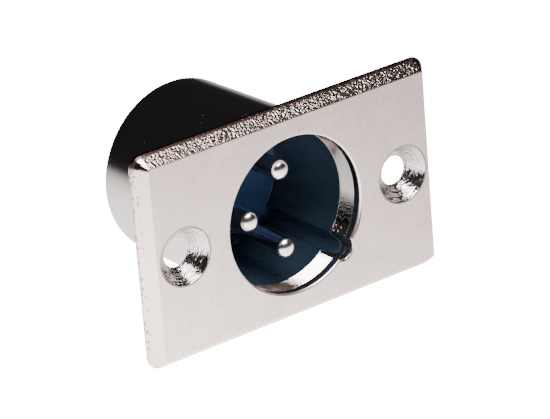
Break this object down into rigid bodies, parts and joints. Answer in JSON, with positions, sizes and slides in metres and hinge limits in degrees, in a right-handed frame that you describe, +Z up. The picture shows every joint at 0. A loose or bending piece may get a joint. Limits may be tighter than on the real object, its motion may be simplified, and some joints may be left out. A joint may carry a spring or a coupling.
{
  "type": "xlr panel connector",
  "caption": "Male audio panel connector: die-cast shell with a bevelled flange and countersunk fixing holes, keyed round mouth, moulded insert and round contact pins.",
  "frame": {"origin": "middle of the flange's rear face, which lies against the panel, on the connector's axis and midway between the fixing holes", "axes": "+X along the flange's long side, +Y along the connector's axis into the panel, so that a plug arrives from -Y, and +Z up"},
  "size_m": [0.0412, 0.0262, 0.0254],
  "materials": {
    "plated_casting": "satin nickel plate on a zinc casting",
    "moulded_insert": "glossy dark navy moulding",
    "contact_metal": "bright plated turned metal",
    "tinned_strip": "tinned strip",
    "plated_screw": "plated steel"
  },
  "bodies": {
    "root": {"shell": "plated_casting", "insert": "moulded_insert", "contact_top": "contact_metal", "contact_left": "contact_metal", "contact_bottom": "contact_metal", "earth_tag": "tinned_strip", "lock_screw": "plated_screw"}
  },
  "joints": []
}
